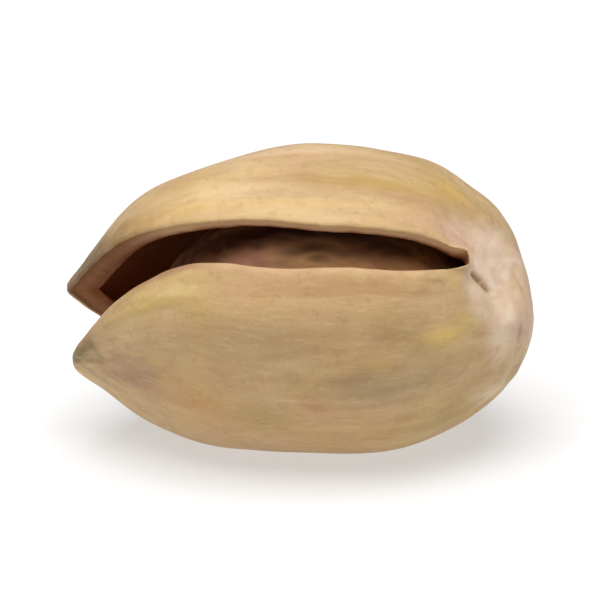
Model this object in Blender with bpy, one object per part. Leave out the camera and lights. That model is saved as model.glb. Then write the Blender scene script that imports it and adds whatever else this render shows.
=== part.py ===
# A pistachio in its split shell, with its kernel loose inside. Metres, +Z up.
# In the nut's own axes the apex is at -X and the stem end at +X. The seam lies in the XY plane, with its
# open ventral side at -Y, and it parts the upper half of the shell, at +Z, from the lower one.
# Each skin is drawn ring by ring from the apex to the stem end.

import math

import bmesh
import bpy
from mathutils import Matrix, Vector

MM = 0.001
ENDS = ("apex", "stem")
SIDES = ("ventral", "dorsal", "upper", "lower")

# Outside of the closed shell: how far it reaches from the middle of its widest ring
SHELL_OUTSIDE = {
    "apex": 10.4 * MM,
    "stem": 9.1 * MM,
    "ventral": 7.3 * MM,
    "dorsal": 6.0 * MM,
    "upper": 6.15 * MM,
    "lower": 5.55 * MM,
}
# Wall of the shell, thickest at its ends
SHELL_WALL = {
    "apex": 1.35 * MM,
    "stem": 1.4 * MM,
    "ventral": 0.75 * MM,
    "dorsal": 1.05 * MM,
    "upper": 1.0 * MM,
    "lower": 1.0 * MM,
}
# A ring at c, from -1 at the apex to 1 at the stem end, keeps (1 - |c|**a)**b of each reach.
# Each side has its own a and b towards the apex, then towards the stem end.
SHELL_TAPER = {
    "ventral": ((5.4, 1.28), (2.15, 0.5)),
    "dorsal": ((3.4, 1.0), (2.4, 0.5)),
    "upper": ((1.8, 0.85), (4.0, 0.5)),
    "lower": ((2.75, 1.4), (3.0, 0.5)),
}
# The middle line of the shell bends this far off at its ends
APEX_OFFSET = Vector((0, 0.4, 0)) * MM
STEM_OFFSET = Vector((0, 0.1, -0.15)) * MM
# The scar of the stem, pressed flat into the stem end on its ventral side
SCAR_TILT = math.radians(43)
SCAR_DEPTH = 0.55 * MM

# The split: each half has swung a little round the dorsal seam, and both seams are open at the apex.
# Places along the nut are measured from its widest ring.
VENTRAL_SPLIT_END = 6.7 * MM
DORSAL_SPLIT_END = -2.8 * MM
MIDDLE_GAP = 2.2 * MM
TIP_GAP = 3.35 * MM
TIP_FLARE_START = -2.9 * MM
SPLIT_END_LENGTH = 1.65 * MM
UPPER_SHARE = 0.37
# The edge of the lower half rises by this much on its ventral side, most at this place
LOWER_RISE = 0.32 * MM
LOWER_RISE_PLACE = -5.4 * MM
LOWER_RISE_LENGTH = 2.0 * MM
# The tip of the lower half is blunt: it is cut off square to this direction
BEAK_DIRECTION = Vector((-0.93, 0, -0.36)).normalized()
BEAK_DEPTH = 0.38 * MM

# The kernel, which lies on the lower half of the shell
KERNEL_SIZE = {
    "apex": 7.0 * MM,
    "stem": 7.2 * MM,
    "ventral": 5.6 * MM,
    "dorsal": 4.6 * MM,
    "upper": 4.6 * MM,
    "lower": 4.15 * MM,
}
KERNEL_TAPER = {
    "ventral": ((2.6, 0.75), (2.4, 0.55)),
    "dorsal": ((2.2, 0.7), (2.4, 0.5)),
    "upper": ((2.1, 0.75), (2.4, 0.52)),
    "lower": ((2.1, 0.75), (2.4, 0.5)),
}
KERNEL_MIDDLE = Vector((-0.2, -0.2, -0.35)) * MM
KERNEL_GROOVE_DEPTH = 0.28 * MM
KERNEL_GROOVE_WIDTH = 0.7 * MM

# How the nut lies: the open seam faces this far above the horizontal, the stem end is a little raised,
# and the flat spot is pressed this deep
SEAM_ELEVATION = math.radians(44)
STEM_END_RISE = math.radians(0.4)
FLAT_SPOT_DEPTH = 0.22 * MM

# Meshes: rings towards the apex, rings towards the stem end, points round half a ring
SHELL_GRID = (18, 15, 24)
KERNEL_GRID = (13, 12, 18)

SHELL_FINISH = {"colour": (0.60, 0.44, 0.24), "roughness": 0.55}
KERNEL_FINISH = {"colour": (0.16, 0.06, 0.035), "roughness": 0.7}


def ring_places(grid):
    """Places of the rings, from -1 at the apex to 1 at the stem end; even steps along the skin."""
    towards_apex, towards_stem = grid[:2]
    quarter = math.pi / 2
    apex_side = [i / towards_apex for i in range(towards_apex, 0, -1)]
    stem_side = [i / towards_stem for i in range(towards_stem + 1)]
    places = [-0.6 * math.sin(quarter * t) - 0.4 * t for t in apex_side]
    return places + [math.sin(quarter * t) for t in stem_side]


def place_along(size, c):
    """Where the ring at c lies along the nut."""
    return c * size[ENDS[c > 0]]


def reaches(size, taper, c):
    """How far the ring at c reaches on each side."""
    found = {}
    for side in SIDES:
        bulge, sharpness = taper[side][c > 0]
        found[side] = size[side] * (1 - min(1, abs(c)) ** bulge) ** sharpness
    return found


def oval_point(reach, turn):
    """Point of a ring in its own plane: turn runs from the ventral seam, by the upper side, to the dorsal one."""
    across = reach["ventral"] if math.cos(turn) > 0 else reach["dorsal"]
    height = reach["upper"] if math.sin(turn) > 0 else reach["lower"]
    return -across * math.cos(turn), height * math.sin(turn)


def seam_gaps(x):
    """Gap between the halves at the ventral seam and at the dorsal one, on the ring at x."""
    apex = SHELL_OUTSIDE["apex"]
    ventral = 0
    dorsal = 0
    if x < VENTRAL_SPLIT_END:
        ventral = MIDDLE_GAP * (1 - math.exp((x - VENTRAL_SPLIT_END) / SPLIT_END_LENGTH))
    if x < TIP_FLARE_START:
        flare = (TIP_FLARE_START - x) / (TIP_FLARE_START + apex)
        ventral += (TIP_GAP - MIDDLE_GAP) * flare ** 2
    if x < DORSAL_SPLIT_END:
        dorsal = TIP_GAP * (DORSAL_SPLIT_END - x) / (DORSAL_SPLIT_END + apex)
    return ventral, dorsal


def half_shift(x, turn, half):
    """How far a point of one half has moved away from the seam plane."""
    ventral, dorsal = seam_gaps(x)
    near_ventral = (1 + math.cos(turn)) / 2
    gap = dorsal + (ventral - dorsal) * near_ventral
    if half > 0:
        return gap * UPPER_SHARE
    rise = LOWER_RISE * math.exp(-((x - LOWER_RISE_PLACE) / LOWER_RISE_LENGTH) ** 2)
    return rise * near_ventral ** 2 - gap * (1 - UPPER_SHARE)


def skin_place(size, c):
    """Place on its own skin of the ring at c: level with the outer skin's ring, except near the ends."""
    end = ENDS[c > 0]
    shrink = size[end] / SHELL_OUTSIDE[end]
    return c * (1 - (1 - shrink) * c ** 4) / shrink


def shell_point(size, c, turn, half):
    """Point of a shell skin after the split."""
    place = skin_place(size, c)
    reach = reaches(size, SHELL_TAPER, place)
    y, z = oval_point(reach, half * turn)
    z += half_shift(place_along(SHELL_OUTSIDE, c), turn, half)
    offset = STEM_OFFSET if c > 0 else APEX_OFFSET
    return Vector((place_along(size, place), y, z)) + offset * c ** 2


def joined(c, turn):
    """Whether the two halves share this point of the ring, because it is on a seam that hasn't split."""
    x = place_along(SHELL_OUTSIDE, c)
    if turn == 0:
        return x >= VENTRAL_SPLIT_END
    if turn == math.pi:
        return x >= DORSAL_SPLIT_END
    return False


def add_skin(mesh, size):
    """One skin of the shell, outer or inner: both halves, joined where the seam is whole.

    Returns the points of the skin by half, ring and place on the ring.
    """
    places = ring_places(SHELL_GRID)
    around = SHELL_GRID[2]
    last = len(places) - 1
    points = {}
    for half in (1, -1):
        for ring, c in enumerate(places):
            for step in range(around + 1):
                turn = math.pi * step / around
                if ring in (0, last) and step > 0:
                    points[half, ring, step] = points[half, ring, 0]
                elif half < 0 and (ring == last or joined(c, turn)):
                    points[half, ring, step] = points[1, ring, step]
                else:
                    points[half, ring, step] = mesh.verts.new(shell_point(size, c, turn, half))
    for half in (1, -1):
        for ring in range(last):
            for step in range(around):
                add_face(mesh, [
                    points[half, ring, step],
                    points[half, ring, step + 1],
                    points[half, ring + 1, step + 1],
                    points[half, ring + 1, step],
                ])
    return points


def add_face(mesh, corners):
    """A face through the corners, less those that fall together at a pole."""
    different = list(dict.fromkeys(corners))
    if len(different) > 2:
        mesh.faces.new(different)


def add_rims(mesh, outer, inner):
    """The broken edges of both halves, from the outer skin to the inner one."""
    places = ring_places(SHELL_GRID)
    around = SHELL_GRID[2]
    for step, split_end in ((0, VENTRAL_SPLIT_END), (around, DORSAL_SPLIT_END)):
        for ring, c in enumerate(places):
            if place_along(SHELL_OUTSIDE, c) >= split_end:
                break
            for half in (1, -1):
                add_face(mesh, [
                    outer[half, ring, step],
                    outer[half, ring + 1, step],
                    inner[half, ring + 1, step],
                    inner[half, ring, step],
                ])


def press_flat(mesh, direction, depth):
    """Flattens what stands out furthest in a direction."""
    furthest = max(point.co.dot(direction) for point in mesh.verts)
    for point in mesh.verts:
        excess = point.co.dot(direction) - (furthest - depth)
        if excess > 0:
            point.co -= excess * direction


def make_material(name, finish):
    """A plain material in the colour of the real surface."""
    material = bpy.data.materials.new(name)
    material.use_nodes = True
    shader = material.node_tree.nodes["Principled BSDF"]
    shader.inputs["Base Color"].default_value = (*finish["colour"], 1)
    shader.inputs["Roughness"].default_value = finish["roughness"]
    shader.inputs["Metallic"].default_value = 0
    return material


def make_object(name, mesh, finish):
    """An object from a finished mesh, shaded smooth but for the edges of the split."""
    bmesh.ops.recalc_face_normals(mesh, faces=mesh.faces)
    data = bpy.data.meshes.new(name)
    mesh.to_mesh(data)
    mesh.free()
    data.shade_smooth()
    data.set_sharp_from_angle(angle=math.radians(50))
    data.materials.append(make_material(name, finish))
    made = bpy.data.objects.new(name, data)
    bpy.context.collection.objects.link(made)
    return made


def make_shell(down):
    """The shell: an outer and an inner skin, joined along the edges of the split."""
    inside = {side: reach - SHELL_WALL[side] for side, reach in SHELL_OUTSIDE.items()}
    mesh = bmesh.new()
    outer = add_skin(mesh, SHELL_OUTSIDE)
    press_flat(mesh, Vector((math.cos(SCAR_TILT), -math.sin(SCAR_TILT), 0)), SCAR_DEPTH)
    press_flat(mesh, BEAK_DIRECTION, BEAK_DEPTH)
    press_flat(mesh, down, FLAT_SPOT_DEPTH)
    inner = add_skin(mesh, inside)
    add_rims(mesh, outer, inner)
    return make_object("shell", mesh, SHELL_FINISH)


def kernel_point(c, turn):
    """Point of the kernel, with the shallow groove between its seed leaves."""
    reach = reaches(KERNEL_SIZE, KERNEL_TAPER, c)
    y, z = oval_point(reach, turn)
    groove = KERNEL_GROOVE_DEPTH * math.exp(-(z / KERNEL_GROOVE_WIDTH) ** 2)
    y -= math.copysign(min(groove, abs(y) / 2), y)
    return Vector((place_along(KERNEL_SIZE, c), y, z))


def make_kernel():
    """The kernel: one closed oval skin with a groove."""
    places = ring_places(KERNEL_GRID)
    around = 2 * KERNEL_GRID[2]
    mesh = bmesh.new()
    rings = []
    for c in places:
        size = 1 if abs(c) == 1 else around
        ring = [mesh.verts.new(kernel_point(c, 2 * math.pi * step / around)) for step in range(size)]
        rings.append(ring * (around // size))
    for ring, following in zip(rings, rings[1:]):
        for step in range(around):
            beyond = (step + 1) % around
            add_face(mesh, [ring[step], ring[beyond], following[beyond], following[step]])
    return make_object("kernel", mesh, KERNEL_FINISH)


def lay_down(nut, shell, turned):
    """Places the nut so that the shell stands on Z = 0, with its box centred on the origin."""
    corners = [turned @ point.co for point in shell.data.vertices]
    low = Vector(min(corner[axis] for corner in corners) for axis in range(3))
    high = Vector(max(corner[axis] for corner in corners) for axis in range(3))
    nut.matrix_world = Matrix.Translation((-(low.x + high.x) / 2, -(low.y + high.y) / 2, -low.z)) @ turned


def main():
    for old in list(bpy.data.objects):
        bpy.data.objects.remove(old)
    turned = Matrix.Rotation(-STEM_END_RISE, 4, "Y") @ Matrix.Rotation(-SEAM_ELEVATION, 4, "X")
    down = turned.to_3x3().inverted() @ Vector((0, 0, -1))
    nut = bpy.data.objects.new("nut", None)
    bpy.context.collection.objects.link(nut)
    shell = make_shell(down)
    kernel = make_kernel()
    kernel.location = KERNEL_MIDDLE
    for piece in (shell, kernel):
        piece.parent = nut
    lay_down(nut, shell, turned)


main()
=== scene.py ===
import math

import bpy
import numpy as np
from mathutils import Matrix, Vector, kdtree, noise


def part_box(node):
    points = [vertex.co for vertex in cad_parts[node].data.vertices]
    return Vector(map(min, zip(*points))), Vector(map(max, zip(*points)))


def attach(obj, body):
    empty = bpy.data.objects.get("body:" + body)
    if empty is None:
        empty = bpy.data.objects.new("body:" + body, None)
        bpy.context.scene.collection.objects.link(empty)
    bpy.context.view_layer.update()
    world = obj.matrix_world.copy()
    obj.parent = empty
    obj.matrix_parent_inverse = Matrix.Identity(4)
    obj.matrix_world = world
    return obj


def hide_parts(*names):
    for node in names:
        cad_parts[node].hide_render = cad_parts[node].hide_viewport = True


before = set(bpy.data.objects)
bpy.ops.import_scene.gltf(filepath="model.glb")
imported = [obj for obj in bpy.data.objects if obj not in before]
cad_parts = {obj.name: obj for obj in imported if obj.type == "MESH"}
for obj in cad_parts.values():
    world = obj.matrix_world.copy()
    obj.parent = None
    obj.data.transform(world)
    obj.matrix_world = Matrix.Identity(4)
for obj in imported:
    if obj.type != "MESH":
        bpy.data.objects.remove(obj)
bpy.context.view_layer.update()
print("frame loaded")

# The nut is modelled in millimetres in its own axes, and only laid in place, in metres, when it is finished.
# Its apex is at -X and its stem end at +X. The seam lies in the XY plane, open on its ventral side at -Y,
# and parts the upper half of the shell, at +Z, from the lower half.
nut = {
    "seamElevation": 44,  # degrees that the open seam faces above the horizontal
    "stemEndRise": 0.4,  # degrees
    "flatSpotDepth": 0.22,  # pressed flat where the nut rests
    "evenRings": 0.4,  # how the rings are spaced towards the apex: 0 as on a ball, 1 evenly
    "drawnOut": (0.5, 1, 1),  # makes a pattern twice as long along the nut
    "seedStep": 31.7,  # how far each seed moves the noise on
}
metresPerMillimetre = 0.001
onPlane = 1e-5  # closer than this to the seam's plane a point is on it


def deselectAll():
    bpy.ops.object.select_all(action="DESELECT")


def makeActive(piece):
    deselectAll()
    piece.select_set(True)
    bpy.context.view_layer.objects.active = piece


def readPoints(piece):
    points = np.zeros(3 * len(piece.data.vertices))
    piece.data.vertices.foreach_get("co", points)
    return points.reshape(-1, 3)


def readNormals(piece):
    normals = np.zeros(3 * len(piece.data.vertices))
    piece.data.vertex_normals.foreach_get("vector", normals)
    return normals.reshape(-1, 3)


def movePoints(piece, points):
    piece.data.vertices.foreach_set("co", points.ravel())
    piece.data.update()


def readValues(piece, name):
    values = np.zeros(len(piece.data.vertices), np.float32)
    piece.data.attributes[name].data.foreach_get("value", values)
    return values.astype(float)


def keepValues(piece, name, values):
    attribute = piece.data.attributes.get(name) or piece.data.attributes.new(name, "FLOAT", "POINT")
    attribute.data.foreach_set("value", np.asarray(values, np.float32))


def bumps(points, size, seed):
    # random bumps of about this size, from -1 to 1
    return np.array([noise.noise(Vector(point)) for point in points / size + nut["seedStep"] * seed])


def relief(points, pattern):
    # random bumps from their size, height and seed
    size, height, seed = pattern
    return height * bumps(points, size, seed)


def smoothStep(low, high, values):
    share = np.clip((values - low) / (high - low), 0, 1)
    return share * share * (3 - 2 * share)


def hill(distance, width):
    return np.exp(-(distance / width) ** 2)


def addBall(name, segments, rings, crowding):
    # a ball with its poles at the nut's ends, which remembers where every point belongs on the nut
    deselectAll()
    bpy.ops.mesh.primitive_uv_sphere_add(
        segments=segments, ring_count=rings, radius=1, rotation=(0, math.radians(90), 0), calc_uvs=False
    )
    ball = bpy.context.object
    ball.name = name
    bpy.ops.object.transform_apply(location=False, rotation=True, scale=False)
    x, y, z = readPoints(ball).T
    x = np.clip(x, -1, 1)
    z[np.abs(z) < onPlane] = 0
    even = np.arcsin(x) * 2 / math.pi
    turn = np.arctan2(np.abs(z), -y)  # 0 at the ventral seam, pi at the dorsal one
    turn -= crowding * np.sin(2 * turn)  # more lines beside the seams
    turn[np.abs(x) > 0.9999] = 0  # the poles
    towardsApex = (1 - nut["evenRings"]) * x + nut["evenRings"] * even
    keepValues(ball, "ring", np.where(x < 0, towardsApex, x))  # -1 at the apex, 1 at the stem end
    keepValues(ball, "ventralness", np.cos(turn))
    keepValues(ball, "upperness", np.sign(z) * np.sin(turn))
    return ball


def reachOf(sizes, tapers, side, ring):
    towardsApex, towardsStem = tapers[side]
    bulge = np.where(ring > 0, towardsStem[0], towardsApex[0])
    sharpness = np.where(ring > 0, towardsStem[1], towardsApex[1])
    return sizes[side] * (1 - np.minimum(1, np.abs(ring)) ** bulge) ** sharpness


def ovalPoints(piece, ring, sizes, tapers):
    # the ball's points on an oval that reaches a different way on each side
    ventralness, upperness = readValues(piece, "ventralness"), readValues(piece, "upperness")
    reach = {side: reachOf(sizes, tapers, side, ring) for side in ("ventral", "dorsal", "upper", "lower")}
    x = ring * np.where(ring > 0, sizes["stem"], sizes["apex"])
    y = -ventralness * np.where(ventralness > 0, reach["ventral"], reach["dorsal"])
    z = upperness * np.where(upperness > 0, reach["upper"], reach["lower"])
    return np.stack([x, y, z], axis=1)


def smoothen(piece, levels):
    makeActive(piece)
    bpy.ops.object.modifier_add(type="SUBSURF")
    modifier = piece.modifiers[-1]
    modifier.levels = modifier.render_levels = levels
    bpy.ops.object.modifier_apply(modifier=modifier.name)


def soften(piece, weights, times):
    # smooths the points that have a weight, and those with more weight more
    leastWeight = 0.02
    group = piece.vertex_groups.new(name="soft")
    for index in np.flatnonzero(weights > leastWeight):
        group.add([int(index)], float(weights[index]), "REPLACE")
    makeActive(piece)
    bpy.ops.object.modifier_add(type="SMOOTH")
    modifier = piece.modifiers[-1]
    modifier.factor = 0.5
    modifier.iterations = times
    modifier.vertex_group = group.name
    bpy.ops.object.modifier_apply(modifier=modifier.name)
    piece.vertex_groups.clear()


def layInPlace(piece, place):
    piece.matrix_world = Matrix.Scale(metresPerMillimetre, 4) @ place
    makeActive(piece)
    bpy.ops.object.transform_apply(location=True, rotation=True, scale=True)
    points = readPoints(piece)
    points[:, 2] = np.maximum(points[:, 2], 0)  # the flat spot
    movePoints(piece, points)
    bpy.ops.object.shade_smooth()


# Shell: an outer and an inner skin, bridged along the edges of the split
shell = {
    "segments": 60,  # a multiple of 4, so that both seams get a line of edges
    "rings": 46,
    "seamCrowding": 0.28,  # more lines of points beside the seams
    "smoothing": 2,
    # how far the closed shell reaches from its widest ring, and its wall there
    "outside": {"apex": 10.4, "stem": 9.1, "ventral": 7.3, "dorsal": 6.0, "upper": 6.15, "lower": 5.55},
    "wall": {"apex": 1.35, "stem": 1.4, "ventral": 0.75, "dorsal": 1.05, "upper": 1.0, "lower": 1.0},
    # a ring at c keeps (1 - |c| ** a) ** b of each reach: a and b towards the apex, then towards the stem end
    "tapers": {
        "ventral": ((5.4, 1.28), (2.15, 0.5)),
        "dorsal": ((3.4, 1.0), (2.4, 0.5)),
        "upper": ((1.8, 0.85), (4.0, 0.5)),
        "lower": ((2.75, 1.4), (3.0, 0.5)),
    },
    "apexOffset": (0, 0.4, 0),  # the middle line bends this far at its ends
    "stemOffset": (0, 0.1, -0.15),
    # the split, measured along the nut from the widest ring
    "ventralSplitEnd": 6.7,
    "crackEnd": 6.6,  # the ventral split stops short of where its edges would meet
    "crackEndLift": 0.34,  # of the upper half's edge, so that the end is blunt
    "crackEndPlace": -0.25,  # middle of the lift, from the end
    "crackEndLength": 0.5,
    "upperHalfFade": 0.4,  # each point's value half is 0 where the halves join, 1 on the upper one
    "dorsalSplitEnd": -2.8,
    "middleGap": 2.2,  # between the halves
    "tipGap": 3.35,
    "tipFlareStart": -2.9,  # from here it widens to the apex
    "splitEndLength": 1.65,  # how fast it closes at the other end
    "upperShare": 0.37,  # of the gap that lies above the seam's plane
    "lowerRise": 0.32,  # the lower half's edge rises by this much
    "lowerRisePlace": -5.4,
    "lowerRiseLength": 2.0,
    "beakDirection": (-0.93, 0, -0.36),  # the lower half's tip is blunt
    "beakDepth": 0.38,
    # smoothed after that: how far from the split's edges, from and to of the rings, and how often
    "rimSoftness": 0.45,
    "poleSoftness": (0.93, 0.98),
    "insideApexSoftness": (-0.78, -0.9),
    "softening": 16,
    "brokenTip": (-6.5, -8.5),  # the broken wall at the apex is smoothed more, from and to along the nut
    "brokenTipSoftening": 60,
    # each point's value skin is 0 on the inner skin, 1 on the outer one, and between these on the edge
    "brokenEdge": (0.02, 0.98),
    "reliefSkin": (0.85, 1),  # the relief fades in between these
    "brownSkin": (0.9, 1),  # and the brown and painted shade of the broken edge fade out between these
    "scarSkin": 0.99,  # the scar is pressed above this
    # relief of the outer skin: size, height and seed
    "lumps": (4.5, 0.20, 1),
    "calmLip": (0.7, 1.5),  # the lumps are lower by this share beside the split, and this far from it
    "dimples": (1.7, 0.05, 2),
    "streaks": (0.55, 0.03, 4),
    "ribs": (1.1, 0.10, 5),
    "ribsStart": (3, 7),  # along the nut: at the stem end only
    "innerLumps": (3.5, 0.05, 8),  # all that the smooth inner skin has
    "grainSpread": 6,  # the shell's own lines, round the nut
    "grainStretch": 0.18,  # and along it
    "grainEnds": (0.9, 0.985),  # rings at which they fade out
    "lipHeight": 0.09,  # raised along the split
    "lipWidth": 0.5,
    "lipGroove": (1.25, 0.5, 0.5),  # behind the lip: how far from the edge, half width, share of its height
    "lipEnd": (0.6, -1.2),  # fades out round the end of the crack
    "keelHeight": 0.08,  # raised along the seams that are still closed
    "keelWidth": 0.4,
    "keelLine": (0.12, 0.7),  # along its middle: half width, share of its height
    "ventralKeelRise": 0.8,  # it rises over this length
    "dorsalKeelRise": 2,
    # the edges of the split: size, height and seed
    "rimWaves": (3.2, 0.07, 9),
    "rimTeeth": (0.9, 0.04, 9),
    "tornEdge": (0.4, 0.05, 19),  # between the skins only
    "tornFade": (0.3, 0.7),  # full between these values of skin
    "tornWidth": 0.6,
    "tornEnd": (0, -2),  # fades out before the end of the crack
    # bends of the edges: place, length, half (1 for the upper one, -1 for the lower one) and rise
    "rimBends": [(-2.6, 1.2, 1, 0.05), (0.4, 1.6, 1, -0.22), (2.6, 1.8, 1, -0.15), (-4.2, 2.6, -1, 0.16)],
    "rimBendWidth": 1.2,
    "brownShadeStart": (-5.2, -8.5),  # the broken edge is brown at the apex, and darkened there with painted shade
    "brownShadeWidth": 0.9,
    # scar of the stem
    "scarTilt": 43,  # degrees from the stem end's axis towards the ventral side
    "scarDepth": 0.55,
    "scarBlend": (1.2, 0.4),  # smoothed from this far below its highest point, and fully from the second
    "scarSmoothing": 60,
    "scarReach": 3.5,  # it ends this far below its highest point
    "scarMiddle": (7.9, -2.7, -0.3),
    "scarRadius": (2.7, 2.5),  # along the seam's plane and across it
    "scarFade": (0.6, 1.2),  # from and to of its radius
    "scarBorder": [(1.6, 0.25, 3), (0.6, 0.15, 13)],  # ragged: size, share of the radius and seed
    # size, height, seed, and the seed of the creases between
    "scarLumps": (1.1, 0.06, 6, 14),
    "scarGrit": (0.35, 0.03, 7, 15),
    "scarCreases": 0.6,  # share of the height
    "scarFibres": 0.2,  # share of the fibres and specks that show on it
    "dentBorder": (0.35, 0.5, 18),  # ragged: size, share of the width and seed
}
# hollows in the skin, and ridges where the depth is negative: from and to, half width, depth, and the share
# of painted shade laid into the hollow
dents = [
    ((6.62, -4.36, -0.36), (6.85, -4.10, -0.50), 0.19, 0.13, 0.9),  # torn notch below the end of the crack
    ((7.05, -3.90, -0.64), (7.24, -3.70, -0.76), 0.17, 0.10, 0.8),
    ((6.62, -4.36, -0.36), (7.24, -3.70, -0.76), 0.24, 0.04, 0.4),
    ((8.37, -2.45, 0.50), (8.66, -2.05, -0.10), 0.14, 0.04, 0.3),
    ((8.50, -1.85, -1.70), (8.45, -1.75, -1.90), 0.33, 0.06, 0.3),
    ((6.37, -2.99, 4.43), (6.42, -2.99, 4.38), 0.15, 0.05, 0.3),
    ((6.73, -3.08, 3.96), (6.78, -3.08, 3.90), 0.15, 0.05, 0.35),
    ((7.43, -3.15, 2.95), (7.50, -3.30, 2.44), 0.12, 0.04, 0.3),
    ((7.81, -1.12, -3.30), (6.23, -0.04, -4.81), 0.50, -0.12, 0),
    ((7.10, -2.60, -3.50), (5.60, -1.60, -4.95), 0.45, 0.08, 0),
    ((6.60, -4.60, -1.90), (4.90, -4.60, -4.20), 0.55, 0.07, 0),
]
# soft stains, and a few patches of painted light and shade: place on the skin, how far they reach along the
# nut and across it, colour, strength
stainsAndPaintedLight = [
    # upper half
    # paler over the top of the upper half: partly its own tone, partly painted light from above
    ((-0.5, -5.3, 4.8), 8.0, 0.9, "#EACBA6", 0.60),
    ((-3.8, -6.8, 2.4), 3.0, 1.0, "#E8CA9A", 0.60),
    ((0.9, -6.6, 3.2), 2.6, 0.8, "#A88050", 0.85),
    ((2.9, -6.4, 2.8), 2.8, 0.6, "#BC9A50", 0.65),
    ((-2.6, -6.4, 3.4), 2.4, 0.4, "#E6C892", 0.45),
    ((-1.3, -5.8, 4.4), 2.8, 0.35, "#BE9462", 0.45),
    ((4.2, -4.5, 4.8), 2.0, 1.0, "#BE9C5E", 0.50),
    ((5.4, -5.2, 3.2), 1.0, 0.9, "#C2A054", 0.55),
    ((6.1, -4.7, 2.9), 0.7, 0.5, "#D2A858", 0.50),
    ((5.9, -4.6, 3.9), 0.8, 0.6, "#D2B468", 0.45),
    ((3.4, -6.6, 2.1), 1.9, 0.18, "#B48A70", 0.40),
    ((-1.5, -7.1, 1.7), 6.0, 0.35, "#DDB976", 0.60),
    ((4.9, -5.9, 1.1), 1.6, 0.4, "#D0A284", 0.55),
    ((5.9, -5.1, 1.1), 0.9, 0.7, "#E6C0AC", 0.75),
    ((-7.2, -5.7, 1.4), 1.6, 0.9, "#C8A068", 0.45),
    # browner and darker towards the upper tip: its own darker apex, and painted shade
    ((-8.2, -4.4, 1.2), 1.6, 1.6, "#A08050", 0.70),
    ((-9.6, -2.4, 1.3), 1.3, 3.0, "#5E4228", 0.90),
    # lower half
    ((-6.8, -5.9, -2.2), 1.8, 0.9, "#C4A854", 0.70),
    ((-5.7, -6.6, -2.0), 1.6, 0.5, "#EACD94", 0.65),
    ((-5.4, -6.9, -1.1), 1.4, 0.3, "#8A6444", 0.90),
    ((-6.6, -6.3, -1.3), 1.0, 0.35, "#8A6444", 0.80),
    ((-7.4, -2.5, -3.9), 1.3, 1.0, "#946C5C", 0.75),
    ((-4.8, -2.8, -5.3), 2.2, 0.7, "#C08A58", 0.45),
    ((-2.1, -2.6, -6.0), 1.0, 0.9, "#9C8A4A", 0.50),
    ((0.1, -3.7, -5.8), 0.7, 0.5, "#AA7458", 0.50),
    ((2.6, -4.3, -5.2), 2.2, 0.9, "#766450", 0.65),
    ((3.2, -5.9, -3.9), 1.6, 0.9, "#A08458", 0.55),
    ((4.9, -4.6, -4.3), 1.3, 1.0, "#B49C78", 0.45),
    ((5.4, -4.9, -3.3), 0.75, 0.5, "#E8C46C", 0.80),
    ((6.2, -4.7, -2.5), 0.45, 0.45, "#D8B762", 0.65),
    # darker over the middle of the lower half: partly its own tone, partly painted shade
    ((-2.0, -6.0, -4.3), 3.4, 1.6, "#A0865A", 0.45),
    ((-2.0, -7.0, -2.5), 2.2, 0.6, "#C8A070", 0.45),
    ((2.2, -6.9, -2.2), 3.0, 0.45, "#BA8A5C", 0.55),
    ((0.2, -7.1, -1.9), 3.2, 0.6, "#B08A60", 0.50),
    ((3.2, -6.3, -3.3), 1.6, 0.8, "#A88458", 0.40),
    ((-0.5, -7.2, -1.2), 7.0, 0.30, "#C4987A", 0.65),
    ((4.9, -6.0, -1.4), 1.4, 0.16, "#96704A", 0.60),
    ((5.4, -0.7, -5.4), 1.8, 1.2, "#A08C4C", 0.55),
    ((0.1, -1.7, -6.2), 3.5, 0.8, "#B48E58", 0.45),
    ((-8.9, -3.0, -2.0), 0.9, 1.2, "#C29A76", 0.50),
    ((-9.8, -0.9, -2.4), 0.75, 1.6, "#5C5430", 0.85),
    # pale along the ridge at the lower stem end: painted light bounced up from the floor
    ((7.3, -0.6, -4.0), 1.4, 0.7, "#D8C4A4", 0.75),
    # scar
    ((7.1, -3.9, -1.9), 0.8, 1.0, "#BEA684", 0.45),
    ((7.8, -2.5, -2.6), 0.8, 0.8, "#EED6BC", 0.70),
    ((8.5, -1.8, -1.8), 0.5, 0.5, "#A88474", 0.55),
    ((7.0, -4.0, 1.3), 0.8, 0.6, "#F0D2C0", 0.60),
    ((8.7, -1.6, -0.4), 0.7, 1.3, "#D6B08A", 0.65),
]
scarColour = ("#E6CBB0", 0.95)  # colour, strength
# mottles of the scar: colour, strength, size and seed of the noise, from and to of it
scarMottles = [
    ("#CDB294", 0.6, 1.0, 15, 0.0, 0.4),
    ("#DDBBA6", 0.6, 1.4, 17, 0.0, 0.4),
    ("#F0DCC8", 0.5, 0.5, 16, 0.1, 0.5),
]
# how ragged the edges of the stains and painted patches are: size, share of their reach and seed
brush = {"wide": (1.3, 0.4, 10), "fine": (0.45, 0.3, 11)}


def seamGaps(x):
    # gap between the halves at the ventral seam and at the dorsal one
    apex = shell["outside"]["apex"]
    toVentralEnd = np.minimum(x - shell["ventralSplitEnd"], 0)
    flare = np.maximum(shell["tipFlareStart"] - x, 0) / (shell["tipFlareStart"] + apex)
    ventral = shell["middleGap"] * (1 - np.exp(toVentralEnd / shell["splitEndLength"]))
    ventral += (shell["tipGap"] - shell["middleGap"]) * flare ** 2
    dorsal = shell["tipGap"] * np.maximum(shell["dorsalSplitEnd"] - x, 0) / (shell["dorsalSplitEnd"] + apex)
    return ventral, dorsal


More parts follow.
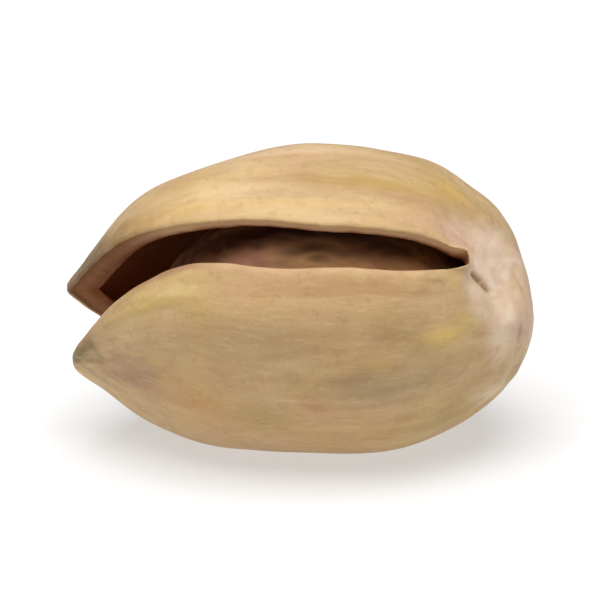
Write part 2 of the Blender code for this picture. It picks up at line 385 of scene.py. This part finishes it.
def splitSeams(ball):
    ring = readValues(ball, "ring")
    x = ring * np.where(ring > 0, shell["outside"]["stem"], shell["outside"]["apex"])
    y, z = readPoints(ball).T[1:]
    makeActive(ball)
    bpy.context.tool_settings.mesh_select_mode = (False, True, False)
    bpy.ops.object.mode_set(mode="EDIT")
    bpy.ops.mesh.select_all(action="DESELECT")
    bpy.ops.object.mode_set(mode="OBJECT")
    for edge in ball.data.edges:
        a, b = edge.vertices
        splitEnd = shell["crackEnd"] if y[a] + y[b] < 0 else shell["dorsalSplitEnd"]
        edge.select = bool(max(abs(z[a]), abs(z[b])) < onPlane and min(x[a], x[b]) < splitEnd)
    bpy.ops.object.mode_set(mode="EDIT")
    bpy.ops.mesh.edge_split(type="EDGE")
    bpy.ops.object.mode_set(mode="OBJECT")


def keepHalves(ball):
    # 1 for the upper half, -1 for the lower one, 0 where they are joined
    sides = np.zeros(len(ball.data.vertices))
    for face in ball.data.polygons:
        for corner in face.vertices:
            sides[corner] += np.sign(face.center.z)
    keepValues(ball, "half", np.sign(sides))


def shapeSkin(skin, sizes):
    ring, ventralness, half = (readValues(skin, name) for name in ("ring", "ventralness", "half"))
    # each ring lies level with the outer skin's ring, except near the ends
    outside = shell["outside"]
    shrink = np.where(ring > 0, sizes["stem"] / outside["stem"], sizes["apex"] / outside["apex"])
    place = ring * (1 - (1 - shrink) * ring ** 4) / shrink
    points = ovalPoints(skin, place, sizes, shell["tapers"])
    x = ring * np.where(ring > 0, outside["stem"], outside["apex"])
    ventralGap, dorsalGap = seamGaps(x)
    nearVentral = (1 + ventralness) / 2
    gap = dorsalGap + (ventralGap - dorsalGap) * nearVentral
    share = np.where(half > 0, shell["upperShare"], 1 - shell["upperShare"])
    rise = shell["lowerRise"] * hill(x - shell["lowerRisePlace"], shell["lowerRiseLength"]) * nearVentral ** 2
    points[:, 2] += half * share * gap + rise * (half < 0)
    offset = np.where(ring[:, None] > 0, shell["stemOffset"], shell["apexOffset"])
    movePoints(skin, points + offset * ring[:, None] ** 2)


def pressFlat(points, direction, depth, mask):
    # flattens what stands out furthest in a direction
    height = points @ direction
    excess = np.maximum(height - (height[mask].max() - depth), 0) * mask
    return points - excess[:, None] * direction


def distanceToRim(piece):
    points, skin = readPoints(piece), readValues(piece, "skin")
    inner, outer = shell["brokenEdge"]
    onRim = np.flatnonzero((skin > inner) & (skin < outer))
    tree = kdtree.KDTree(len(onRim))
    for index in onRim:
        tree.insert(points[index], index)
    tree.balance()
    return np.array([tree.find(point)[2] for point in points])


def scarDirection():
    tilt = math.radians(shell["scarTilt"])
    return np.array([math.cos(tilt), -math.sin(tilt), 0])


def flattenScar(piece):
    # presses the stem end flat, smooths its border, and tells how far each point is below the highest one
    direction = scarDirection()
    onOuter = readValues(piece, "skin") > shell["scarSkin"]
    points = pressFlat(readPoints(piece), direction, shell["scarDepth"], onOuter)
    height = points @ direction
    below = height[onOuter].max() - height
    movePoints(piece, points)
    soften(piece, smoothStep(*shell["scarBlend"], below) * onOuter, shell["scarSmoothing"])
    return below


def scarShare(points, at, below):
    # 1 on the scar, 0 past its ragged border
    direction = scarDirection()
    sideways = np.array([-direction[1], direction[0], 0])
    fromMiddle = points - np.array(shell["scarMiddle"])
    radius, radiusAcross = shell["scarRadius"]
    place = np.hypot(fromMiddle @ sideways / radius, fromMiddle[:, 2] / radiusAcross)
    for pattern in shell["scarBorder"]:
        place += relief(points, pattern)
    return (1 - smoothStep(*shell["scarFade"], place)) * (below <= shell["scarReach"]) * at["outer"]


def shellGrain(points, at):
    # the shell's own lines run from the stem end to the apex, and come closer together there
    along = points[:, 0] * shell["grainStretch"]
    spread = shell["grainSpread"] * np.maximum(1 - at["ring"] ** 2, 0) ** 0.25
    return np.stack([along, spread * at["ventralness"], spread * at["upperness"]], axis=1)


def closedKeel(points, at):
    x = points[:, 0]
    ventralEnd, dorsalEnd = shell["crackEnd"], shell["dorsalSplitEnd"]
    closed = np.where(
        at["ventralness"] > 0,
        smoothStep(ventralEnd, ventralEnd + shell["ventralKeelRise"], x),
        smoothStep(dorsalEnd, dorsalEnd + shell["dorsalKeelRise"], x),
    )
    distance = np.abs(at["upperness"]) * np.hypot(points[:, 1], points[:, 2])
    lineWidth, lineShare = shell["keelLine"]
    keel = hill(distance, shell["keelWidth"]) - lineShare * hill(distance, lineWidth)
    return shell["keelHeight"] * keel * closed


def raisedLip(points, at):
    place, width, share = shell["lipGroove"]
    lip = hill(at["toRim"], shell["lipWidth"]) - share * hill(at["toRim"] - place, width)
    return shell["lipHeight"] * lip * smoothStep(*shell["lipEnd"], points[:, 0] - shell["crackEnd"])


def outerRelief(points, at, grain, scar):
    offScar = (1 - scar) * (1 - smoothStep(*shell["grainEnds"], np.abs(at["ring"])))
    share, width = shell["calmLip"]
    shift = relief(points, shell["lumps"]) * (1 - share * hill(at["toRim"], width))
    shift += relief(points * nut["drawnOut"], shell["dimples"])
    shift += relief(grain, shell["streaks"]) * offScar
    shift += relief(grain, shell["ribs"]) * smoothStep(*shell["ribsStart"], points[:, 0]) * offScar
    shift += raisedLip(points, at)
    shift += closedKeel(points, at) * offScar
    for size, height, seed, creaseSeed in (shell["scarLumps"], shell["scarGrit"]):
        creases = np.abs(bumps(points, size / 2, creaseSeed))
        shift += height * (bumps(points, size, seed) - shell["scarCreases"] * creases) * scar
    return shift * at["outer"]


def pressDents(points, at):
    # how deep the dents are at each point, and how much painted shade they get
    depths, paintedDentShade = np.zeros(len(points)), np.zeros(len(points))
    torn = 1 + relief(points, shell["dentBorder"])
    for start, end, width, depth, darkness in dents:
        fromStart = points - np.array(start)
        line = np.array(end) - np.array(start)
        share = np.clip(fromStart @ line / (line @ line), 0, 1)
        distance = np.linalg.norm(fromStart - share[:, None] * line, axis=1)
        pit = hill(distance * torn, width) * at["outer"]
        depths += depth * pit
        paintedDentShade = np.maximum(paintedDentShade, darkness * pit)
    return depths, paintedDentShade


def tearEdges(points, at):
    # the edges of the split are a little torn and bent
    fromEnd = points[:, 0] - shell["crackEnd"]
    skin, half, ventral = at["skin"], at["half"], at["ventralness"] > 0
    nearRim = hill(at["toRim"], shell["tornWidth"])
    waves = relief(points, shell["rimWaves"]) + relief(points, shell["rimTeeth"])
    (inner, outer), (innerFull, outerFull) = shell["brokenEdge"], shell["tornFade"]
    betweenSkins = smoothStep(inner, innerFull, skin) * smoothStep(outer, outerFull, skin)
    waves += relief(points, shell["tornEdge"]) * betweenSkins
    points[:, 2] += waves * nearRim * np.abs(half) * smoothStep(*shell["tornEnd"], fromEnd)
    for place, length, side, rise in shell["rimBends"]:
        bend = rise * hill(points[:, 0] - place, length) * hill(at["toRim"], shell["rimBendWidth"])
        points[:, 2] += bend * (half == side) * ventral
    atEnd = hill(fromEnd - shell["crackEndPlace"], shell["crackEndLength"]) * nearRim * ventral
    points[:, 2] += shell["crackEndLift"] * atEnd * smoothStep(0, shell["upperHalfFade"], half)


def carveShell(piece):
    normals = readNormals(piece)
    below = flattenScar(piece)
    points = readPoints(piece)
    at = {name: readValues(piece, name) for name in ("ring", "ventralness", "upperness", "half", "skin")}
    at["toRim"] = distanceToRim(piece)
    at["outer"] = smoothStep(*shell["reliefSkin"], at["skin"])
    scar = scarShare(points, at, below)
    grain = shellGrain(points, at)
    depths, paintedDentShade = pressDents(points, at)
    shift = outerRelief(points, at, grain, scar) - depths
    shift += relief(points, shell["innerLumps"]) * (at["skin"] < shell["brokenEdge"][0])
    points += shift[:, None] * normals
    tearEdges(points, at)
    movePoints(piece, points)

    keepValues(piece, "rimDistance", at["toRim"])
    keepValues(piece, "paintedDentShade", paintedDentShade)
    keepValues(piece, "fibrous", 1 - (1 - shell["scarFibres"]) * scar)
    brown = smoothStep(*shell["brownShadeStart"], points[:, 0]) * (1 - smoothStep(*shell["brownSkin"], at["skin"]))
    keepValues(piece, "brownShadedTipEdge", brown * hill(at["toRim"], shell["brownShadeWidth"]))
    attribute = piece.data.attributes.new("grain", "FLOAT_VECTOR", "POINT")
    attribute.data.foreach_set("vector", grain.astype(np.float32).ravel())
    paintShellColours(piece, points, scar)


def linearColour(text):
    # sRGB hex to the linear red, green, blue and alpha that Blender works in
    parts = [int(text[place:place + 2], 16) / 255 for place in (1, 3, 5)]
    return [part / 12.92 if part <= 0.04045 else ((part + 0.055) / 1.055) ** 2.4 for part in parts] + [1]


def layColour(colour, text, share):
    colour += (np.array(linearColour(text)) - colour) * share[:, None]


def brushOn(piece, points, strokes, colour):
    # paints soft stains and patches of painted light and shade with ragged edges over a colour, which is
    # given times its strength
    ventralness, upperness = readValues(piece, "ventralness"), readValues(piece, "upperness")
    girth = np.hypot(points[:, 1], points[:, 2])
    ragged = 1 + relief(points, brush["wide"]) + relief(points * nut["drawnOut"], brush["fine"])
    for place, along, across, text, strength in strokes:
        nearest = np.argmin(np.linalg.norm(points - np.array(place), axis=1))
        aside = np.hypot(ventralness - ventralness[nearest], upperness - upperness[nearest]) * girth
        aside = np.maximum(aside, np.abs(points[:, 2] - place[2]))  # stays on its side of the split
        distance = np.hypot((points[:, 0] - place[0]) / along, aside / across)
        layColour(colour, text, strength * hill(distance * ragged, 1))
    attribute = piece.data.attributes.new("stainAndPaintedLight", "FLOAT_COLOR", "POINT")
    colour[:, :3] /= np.maximum(colour[:, 3:], 1e-4)  # the piece keeps the plain colour
    attribute.data.foreach_set("color", colour.astype(np.float32).ravel())


def paintShellColours(piece, points, scar):
    colour = np.zeros((len(points), 4))
    text, strength = scarColour
    layColour(colour, text, strength * scar)
    for text, strength, size, seed, low, high in scarMottles:
        layColour(colour, text, strength * scar * smoothStep(low, high, bumps(points, size, seed)))
    brushOn(piece, points, stainsAndPaintedLight, colour)


def joinSkins(outer, inner):
    # turns the inner skin to face inwards, and bridges the edges of the split
    makeActive(inner)
    bpy.ops.object.mode_set(mode="EDIT")
    bpy.ops.mesh.select_all(action="SELECT")
    bpy.ops.mesh.flip_normals()
    bpy.ops.object.mode_set(mode="OBJECT")
    makeActive(outer)
    inner.select_set(True)
    bpy.ops.object.join()
    bpy.ops.object.mode_set(mode="EDIT")
    bpy.ops.mesh.select_all(action="DESELECT")
    bpy.ops.mesh.select_non_manifold(
        use_wire=False, use_boundary=True, use_multi_face=False, use_non_contiguous=False, use_verts=False
    )
    bpy.ops.mesh.bridge_edge_loops(number_cuts=2, interpolation="LINEAR")
    bpy.ops.object.mode_set(mode="OBJECT")


def softenShell(piece):
    ring, skin = readValues(piece, "ring"), readValues(piece, "skin")
    nearPole = smoothStep(*shell["poleSoftness"], np.abs(ring))
    insideApex = smoothStep(*shell["insideApexSoftness"], ring) * (skin < 0.5)  # the wall's inner side
    nearRim = hill(distanceToRim(piece), shell["rimSoftness"])
    soften(piece, np.maximum(np.maximum(nearRim, nearPole), insideApex), shell["softening"])
    offOuterSkin = skin < shell["brownSkin"][0]
    brokenTip = smoothStep(*shell["brokenTip"], readPoints(piece)[:, 0]) * offOuterSkin
    soften(piece, brokenTip, shell["brokenTipSoftening"])


def makeShell():
    outer = addBall("splitShell", shell["segments"], shell["rings"], shell["seamCrowding"])
    splitSeams(outer)
    keepHalves(outer)
    makeActive(outer)
    bpy.ops.object.duplicate()
    inner = bpy.context.object
    shapeSkin(outer, shell["outside"])
    beak = np.array(shell["beakDirection"]) / np.linalg.norm(shell["beakDirection"])
    points = readPoints(outer)
    movePoints(outer, pressFlat(points, beak, shell["beakDepth"], np.full(len(points), True)))
    shapeSkin(inner, {side: reach - shell["wall"][side] for side, reach in shell["outside"].items()})
    keepValues(outer, "skin", np.ones(len(outer.data.vertices)))
    keepValues(inner, "skin", np.zeros(len(inner.data.vertices)))
    joinSkins(outer, inner)
    smoothen(outer, shell["smoothing"])
    softenShell(outer)
    print("shell shaped:", len(outer.data.polygons), "faces")
    return outer


def placeOfNut(piece):
    # turns the nut as it lies, and centres it on the CAD shell's box
    turned = Matrix.Rotation(math.radians(-nut["stemEndRise"]), 4, "Y")
    turned = turned @ Matrix.Rotation(math.radians(-nut["seamElevation"]), 4, "X")
    points = readPoints(piece) @ np.array(turned.to_3x3()).T
    low, high = (np.array(corner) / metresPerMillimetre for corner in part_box("shell"))
    across = (low + high) / 2 - (points.min(axis=0) + points.max(axis=0)) / 2
    down = low[2] - points[:, 2].min() - nut["flatSpotDepth"]
    return Matrix.Translation((across[0], across[1], down)) @ turned


shellPiece = makeShell()
nutPlace = placeOfNut(shellPiece)
print("nut's middle at", [round(value, 3) for value in nutPlace.translation], "mm")
carveShell(shellPiece)
layInPlace(shellPiece, nutPlace)
print("shell carved and laid in place")

# Kernel: the seed in its thin wrinkled skin, loose in the shell
kernel = {
    "segments": 64,
    "rings": 44,
    "smoothing": 2,
    "outside": {"apex": 7.0, "stem": 7.2, "ventral": 5.6, "dorsal": 4.6, "upper": 4.6, "lower": 4.15},
    "tapers": {
        "ventral": ((2.6, 0.75), (2.4, 0.55)),
        "dorsal": ((2.2, 0.7), (2.4, 0.5)),
        "upper": ((2.1, 0.75), (2.4, 0.52)),
        "lower": ((2.1, 0.75), (2.4, 0.5)),
    },
    "middle": (-0.2, -0.2, -0.35),  # lies low in the shell
    "grooveDepth": 0.28,  # between the two seed leaves
    "grooveWidth": 0.7,
    "drawnOut": (0.45, 1, 1),  # folds and wrinkles run along the seed
    "folds": (1.3, 0.16, 21),  # size, height and seed
    "wrinkles": (0.5, 0.07, 22),
    "wrinkleSwell": 0.4,  # share of the height that the skin stands up between the wrinkles
    "wrinkleDepth": 1.6,  # and that they cut in
}
# place on the skin, how far they reach along the nut and across it, colour, strength. The darkest patches are
# painted shade where the upper half shades the seed, and the pale and pinkish ones below them are painted
# light over its own pinkish tan; the others are its own colour.
kernelPatchesAndPaintedLight = [
    ((-1.0, -5.6, -0.5), 3.0, 1.2, "#D8A870", 0.75),
    ((-2.7, -5.3, 0.1), 1.0, 0.6, "#C89078", 0.75),
    ((-1.0, -5.3, 1.2), 5.0, 0.6, "#4A2010", 0.80),
    ((-3.2, -5.0, 1.0), 1.8, 0.6, "#4A1E10", 0.75),
    ((2.8, -5.1, 0.6), 1.7, 1.0, "#542610", 0.85),
    ((4.9, -4.3, -0.4), 1.8, 1.0, "#CE9E66", 0.60),
    ((-5.0, -3.8, 0.9), 1.8, 1.5, "#74422E", 0.60),
]


def makeKernel():
    piece = addBall("kernelInSkin", kernel["segments"], kernel["rings"], crowding=0)
    points = ovalPoints(piece, readValues(piece, "ring"), kernel["outside"], kernel["tapers"])
    groove = kernel["grooveDepth"] * hill(points[:, 2], kernel["grooveWidth"])
    points[:, 1] -= np.sign(points[:, 1]) * np.minimum(groove, np.abs(points[:, 1]) / 2)
    movePoints(piece, points)
    smoothen(piece, kernel["smoothing"])
    points = readPoints(piece)
    normals = readNormals(piece)
    drawn = points * kernel["drawnOut"]
    shift = -np.abs(relief(drawn, kernel["folds"]))
    size, height, seed = kernel["wrinkles"]
    shift += height * (kernel["wrinkleSwell"] - kernel["wrinkleDepth"] * np.abs(bumps(drawn, size, seed)))
    points += shift[:, None] * normals
    movePoints(piece, points + kernel["middle"])
    keepValues(piece, "fold", shift)
    brushOn(piece, readPoints(piece), kernelPatchesAndPaintedLight, np.zeros((len(points), 4)))
    return piece


kernelPiece = makeKernel()
layInPlace(kernelPiece, nutPlace)
print("kernel made")


def addNode(tree, kind, values=None, links=None, **settings):
    node = tree.nodes.new("ShaderNode" + kind)
    for name, value in settings.items():
        setattr(node, name, value)
    for name, value in (values or {}).items():
        node.inputs[name].default_value = value
    for name, source in (links or {}).items():
        tree.links.new(source, node.inputs[name])
    return node


def startMaterial(name):
    material = bpy.data.materials.new(name)
    material.use_nodes = True
    tree = material.node_tree
    shader = tree.nodes["Principled BSDF"]
    coordinates = addNode(tree, "TexCoord")
    perMetre = 1 / metresPerMillimetre
    place = addNode(  # patterns are placed and sized in millimetres
        tree, "Mapping", {"Scale": (perMetre, perMetre, perMetre)}, {"Vector": coordinates.outputs["Object"]}
    )
    return material, tree, shader, place.outputs["Vector"]


mixFactor, mixUnder, mixOver, mixResult = 0, 6, 7, 2  # sockets of a Mix node that mixes colours


def addPatterns(tree, colour, coordinates, patterns, share=None):
    # lays noise of several sizes over a colour, each with its own tint; the first colour may be a hex text
    for size, detail, low, high, strength, tint in patterns:
        values = {"Scale": 1 / size, "Detail": detail, "Roughness": 0.55}
        pattern = addNode(tree, "TexNoise", values, {"Vector": coordinates})
        values = {"From Min": low, "From Max": high, "To Max": strength}
        amount = addNode(tree, "MapRange", values, {"Value": pattern.outputs["Fac"]}).outputs["Result"]
        if share:
            amount = addNode(tree, "Math", {}, {0: amount, 1: share}, operation="MULTIPLY").outputs["Value"]
        mix = addNode(tree, "Mix", {mixOver: linearColour(tint)}, {mixFactor: amount}, data_type="RGBA")
        if isinstance(colour, str):
            mix.inputs[mixUnder].default_value = linearColour(colour)
        else:
            tree.links.new(colour, mix.inputs[mixUnder])
        colour = mix.outputs[mixResult]
    return colour


def addTints(tree, colour, tints):
    # lays colours over a colour, each where an attribute of the piece goes from one value to the next
    for name, low, high, share, tint in tints:
        source = addNode(tree, "Attribute", attribute_name=name)
        values = {"From Min": low, "From Max": high, "To Max": share}
        amount = addNode(tree, "MapRange", values, {"Value": source.outputs["Fac"]})
        links = {mixFactor: amount.outputs["Result"], mixUnder: colour}
        mix = addNode(tree, "Mix", {mixOver: linearColour(tint)}, links, data_type="RGBA")
        colour = mix.outputs[mixResult]
    return colour


def addStainsAndPaintedLight(tree, colour):
    stainAndPaintedLight = addNode(tree, "Attribute", attribute_name="stainAndPaintedLight")
    links = {mixFactor: stainAndPaintedLight.outputs["Alpha"], mixUnder: colour, mixOver: stainAndPaintedLight.outputs["Color"]}
    return addNode(tree, "Mix", {}, links, data_type="RGBA").outputs[mixResult]


# Pistachio shell is thin, hard and woody, dried and left unpolished: satin, mottled beige and tan, with fine
# lines from the stem to the apex. Sizes are in millimetres.
shellFinish = {
    "base": "#C6A67A",
    # size, detail, from and to of the noise, share, colour
    "clouds": [
        (5.0, 1, 0.40, 0.65, 0.60, "#BE9A6C"),
        (3.0, 2, 0.50, 0.70, 0.45, "#C8A968"),
        (2.4, 2, 0.55, 0.72, 0.35, "#C69C80"),
    ],
    "fibres": [
        (1.2, 2, 0.50, 0.72, 0.35, "#DFC596"),
        (0.40, 3, 0.50, 0.70, 0.26, "#A8835A"),
        (0.14, 2, 0.54, 0.72, 0.14, "#EAD6B0"),
    ],
    "speckles": [
        (0.45, 4, 0.54, 0.70, 0.26, "#A07E54"),
        (0.12, 3, 0.60, 0.72, 0.22, "#80603E"),
    ],
    # attribute, from and to of it, share, colour
    # pale lip along the split: its own paler colour, and partly a painted highlight
    "lip": [("rimDistance", 0.9, 0.2, 0.4, "#E2C088")],
    "masks": [
        # painted shade in the dents and pits
        ("paintedDentShade", 0.1, 0.8, 0.85, "#8A6644"),
        ("skin", 0.95, 0.6, 0.9, "#DCB48E"),  # broken edge
        ("skin", 0.5, 0.1, 0.95, "#8C4C26"),  # inner wall: its own brown film, darkened with painted shade
        # the broken edge at the apex: its own brown, darkened with painted shade
        ("brownShadedTipEdge", 0.0, 1.0, 0.85, "#8A5632"),
    ],
    "roughness": (0.45, 0.6),
    "specular": (0.15, 0.02),  # of the shell, and of its broken edge at the apex, which is dull
    "gritSize": 0.18,
    "gritHeight": 0.02,
    "lineSize": 0.22,
    "lineHeight": 0.012,
}


def makeShellMaterial():
    material, tree, shader, place = startMaterial("driedPistachioShell")
    grain = addNode(tree, "Attribute", attribute_name="grain").outputs["Vector"]
    fibrous = addNode(tree, "Attribute", attribute_name="fibrous").outputs["Fac"]
    brownShadedTipEdge = addNode(tree, "Attribute", attribute_name="brownShadedTipEdge").outputs["Fac"]

    colour = addPatterns(tree, shellFinish["base"], place, shellFinish["clouds"])
    colour = addStainsAndPaintedLight(tree, addTints(tree, colour, shellFinish["lip"]))
    colour = addPatterns(tree, colour, grain, shellFinish["fibres"], fibrous)
    colour = addPatterns(tree, colour, place, shellFinish["speckles"], fibrous)
    colour = addTints(tree, colour, shellFinish["masks"])
    tree.links.new(colour, shader.inputs["Base Color"])

    values = {"Scale": 1 / shellFinish["gritSize"], "Detail": 4, "Roughness": 0.6}
    grit = addNode(tree, "TexNoise", values, {"Vector": place})
    values = {"Scale": 1 / shellFinish["lineSize"], "Detail": 3}
    lines = addNode(tree, "TexNoise", values, {"Vector": grain})
    smooth, rough = shellFinish["roughness"]
    values = {"From Min": 0.3, "From Max": 0.7, "To Min": smooth, "To Max": rough}
    roughness = addNode(tree, "MapRange", values, {"Value": grit.outputs["Fac"]})
    tree.links.new(roughness.outputs["Result"], shader.inputs["Roughness"])
    satin, dull = shellFinish["specular"]
    values = {"From Max": 0.6, "To Min": satin, "To Max": dull}
    sheen = addNode(tree, "MapRange", values, {"Value": brownShadedTipEdge})
    tree.links.new(sheen.outputs["Result"], shader.inputs["Specular IOR Level"])
    normal = None
    for pattern, height in ((lines, shellFinish["lineHeight"]), (grit, shellFinish["gritHeight"])):
        links = {"Height": pattern.outputs["Fac"]}
        if normal:
            links["Normal"] = normal
        values = {"Strength": 1, "Distance": height * metresPerMillimetre}
        normal = addNode(tree, "Bump", values, links).outputs["Normal"]
    tree.links.new(normal, shader.inputs["Normal"])
    return material


# Seed skin is a thin dry papery coat over the green seed: matt, wrinkled, mauve brown. Sizes are in
# millimetres.
kernelFinish = {
    "base": "#AC7448",
    "drawnOut": (0.4, 1, 1),  # its veins run along the seed
    # size, detail, from and to of the noise, share, colour
    "veins": [
        (1.6, 3, 0.40, 0.62, 0.6, "#BC8C68"),
        (0.8, 4, 0.50, 0.70, 0.5, "#744628"),
        (0.25, 4, 0.52, 0.70, 0.45, "#CCA07C"),
    ],
    "clouds": [(2.2, 2, 0.60, 0.72, 0.45, "#8F8444")],  # the green seed shows through
    "folds": [("fold", -0.02, -0.12, 0.7, "#5A3A2A")],  # attribute, from and to of it, share, colour: darker in the deep folds, which is painted shade
    "roughness": 0.65,
    "specular": 0.2,
    "creaseSize": 0.16,
    "creaseHeight": 0.04,
}


def makeKernelMaterial():
    material, tree, shader, place = startMaterial("driedSeedSkin")
    drawn = addNode(tree, "Mapping", {"Scale": kernelFinish["drawnOut"]}, {"Vector": place}).outputs["Vector"]
    colour = addPatterns(tree, kernelFinish["base"], drawn, kernelFinish["veins"])
    colour = addStainsAndPaintedLight(tree, addPatterns(tree, colour, place, kernelFinish["clouds"]))
    colour = addTints(tree, colour, kernelFinish["folds"])
    tree.links.new(colour, shader.inputs["Base Color"])
    shader.inputs["Roughness"].default_value = kernelFinish["roughness"]
    shader.inputs["Specular IOR Level"].default_value = kernelFinish["specular"]
    values = {"Scale": 1 / kernelFinish["creaseSize"], "Detail": 5, "Roughness": 0.65}
    creases = addNode(tree, "TexNoise", values, {"Vector": drawn})
    values = {"Strength": 1, "Distance": kernelFinish["creaseHeight"] * metresPerMillimetre}
    bump = addNode(tree, "Bump", values, {"Height": creases.outputs["Fac"]})
    tree.links.new(bump.outputs["Normal"], shader.inputs["Normal"])
    return material


shellPiece.data.materials.clear()
shellPiece.data.materials.append(makeShellMaterial())
kernelPiece.data.materials.clear()
kernelPiece.data.materials.append(makeKernelMaterial())
for piece, node in ((shellPiece, "shell"), (kernelPiece, "kernel")):
    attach(piece, "root")
    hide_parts(node)
print("materials made")

# Studio: a white floor under soft light, and the camera. Places and sizes are in metres.
studio = {
    "floorSize": 2.0,
    "floorColour": "#B4B4B4",
    "floorGlow": 0.5,  # the floor is a light table
    "lightColour": "#FFFFFF",
    "skyStrength": 0.15,
    "keyPower": 9.0,
    "keySize": 0.75,
    "keyPlace": (-0.05, -0.19, 0.78),
    "cameraElevation": 20,  # degrees above the horizon
    "aim": (0, 0, 0.00638),
    "lens": 400,
    "sensorWidth": 36,
    "clip": (0.01, 10),
    "frameWidth": 0.025,  # of the picture, at the nut
}


def addFloor():
    deselectAll()
    bpy.ops.mesh.primitive_plane_add(size=studio["floorSize"])
    floor = bpy.context.object
    floor.name = "floor"
    material = bpy.data.materials.new("litWhiteAcrylic")
    material.use_nodes = True
    shader = material.node_tree.nodes["Principled BSDF"]
    shader.inputs["Base Color"].default_value = linearColour(studio["floorColour"])
    shader.inputs["Roughness"].default_value = 0.9
    shader.inputs["Specular IOR Level"].default_value = 0
    shader.inputs["Emission Color"].default_value = linearColour(studio["lightColour"])
    shader.inputs["Emission Strength"].default_value = studio["floorGlow"]
    floor.data.materials.append(material)


def addLights():
    world = bpy.data.worlds.new("studio")
    world.use_nodes = True
    background = world.node_tree.nodes["Background"]
    background.inputs["Color"].default_value = linearColour(studio["lightColour"])
    background.inputs["Strength"].default_value = studio["skyStrength"]
    bpy.context.scene.world = world

    bpy.ops.object.light_add(type="AREA", location=studio["keyPlace"])
    key = bpy.context.object
    key.name = "softbox"
    key.data.energy = studio["keyPower"]
    key.data.size = studio["keySize"]
    key.rotation_euler = (-Vector(studio["keyPlace"])).to_track_quat("-Z", "Y").to_euler()


def addCamera():
    elevation = math.radians(studio["cameraElevation"])
    back = Vector((0, -math.cos(elevation), math.sin(elevation)))
    data = bpy.data.cameras.new("camera")
    data.lens = studio["lens"]
    data.sensor_width = studio["sensorWidth"]
    data.clip_start, data.clip_end = studio["clip"]
    distance = studio["frameWidth"] * data.lens / data.sensor_width
    camera = bpy.data.objects.new("camera", data)
    bpy.context.scene.collection.objects.link(camera)
    camera.location = Vector(studio["aim"]) + back * distance
    camera.rotation_euler = (-back).to_track_quat("-Z", "Y").to_euler()
    bpy.context.scene.camera = camera
    bpy.context.scene.view_settings.view_transform = "Standard"


addFloor()
addLights()
addCamera()
print("studio lit")
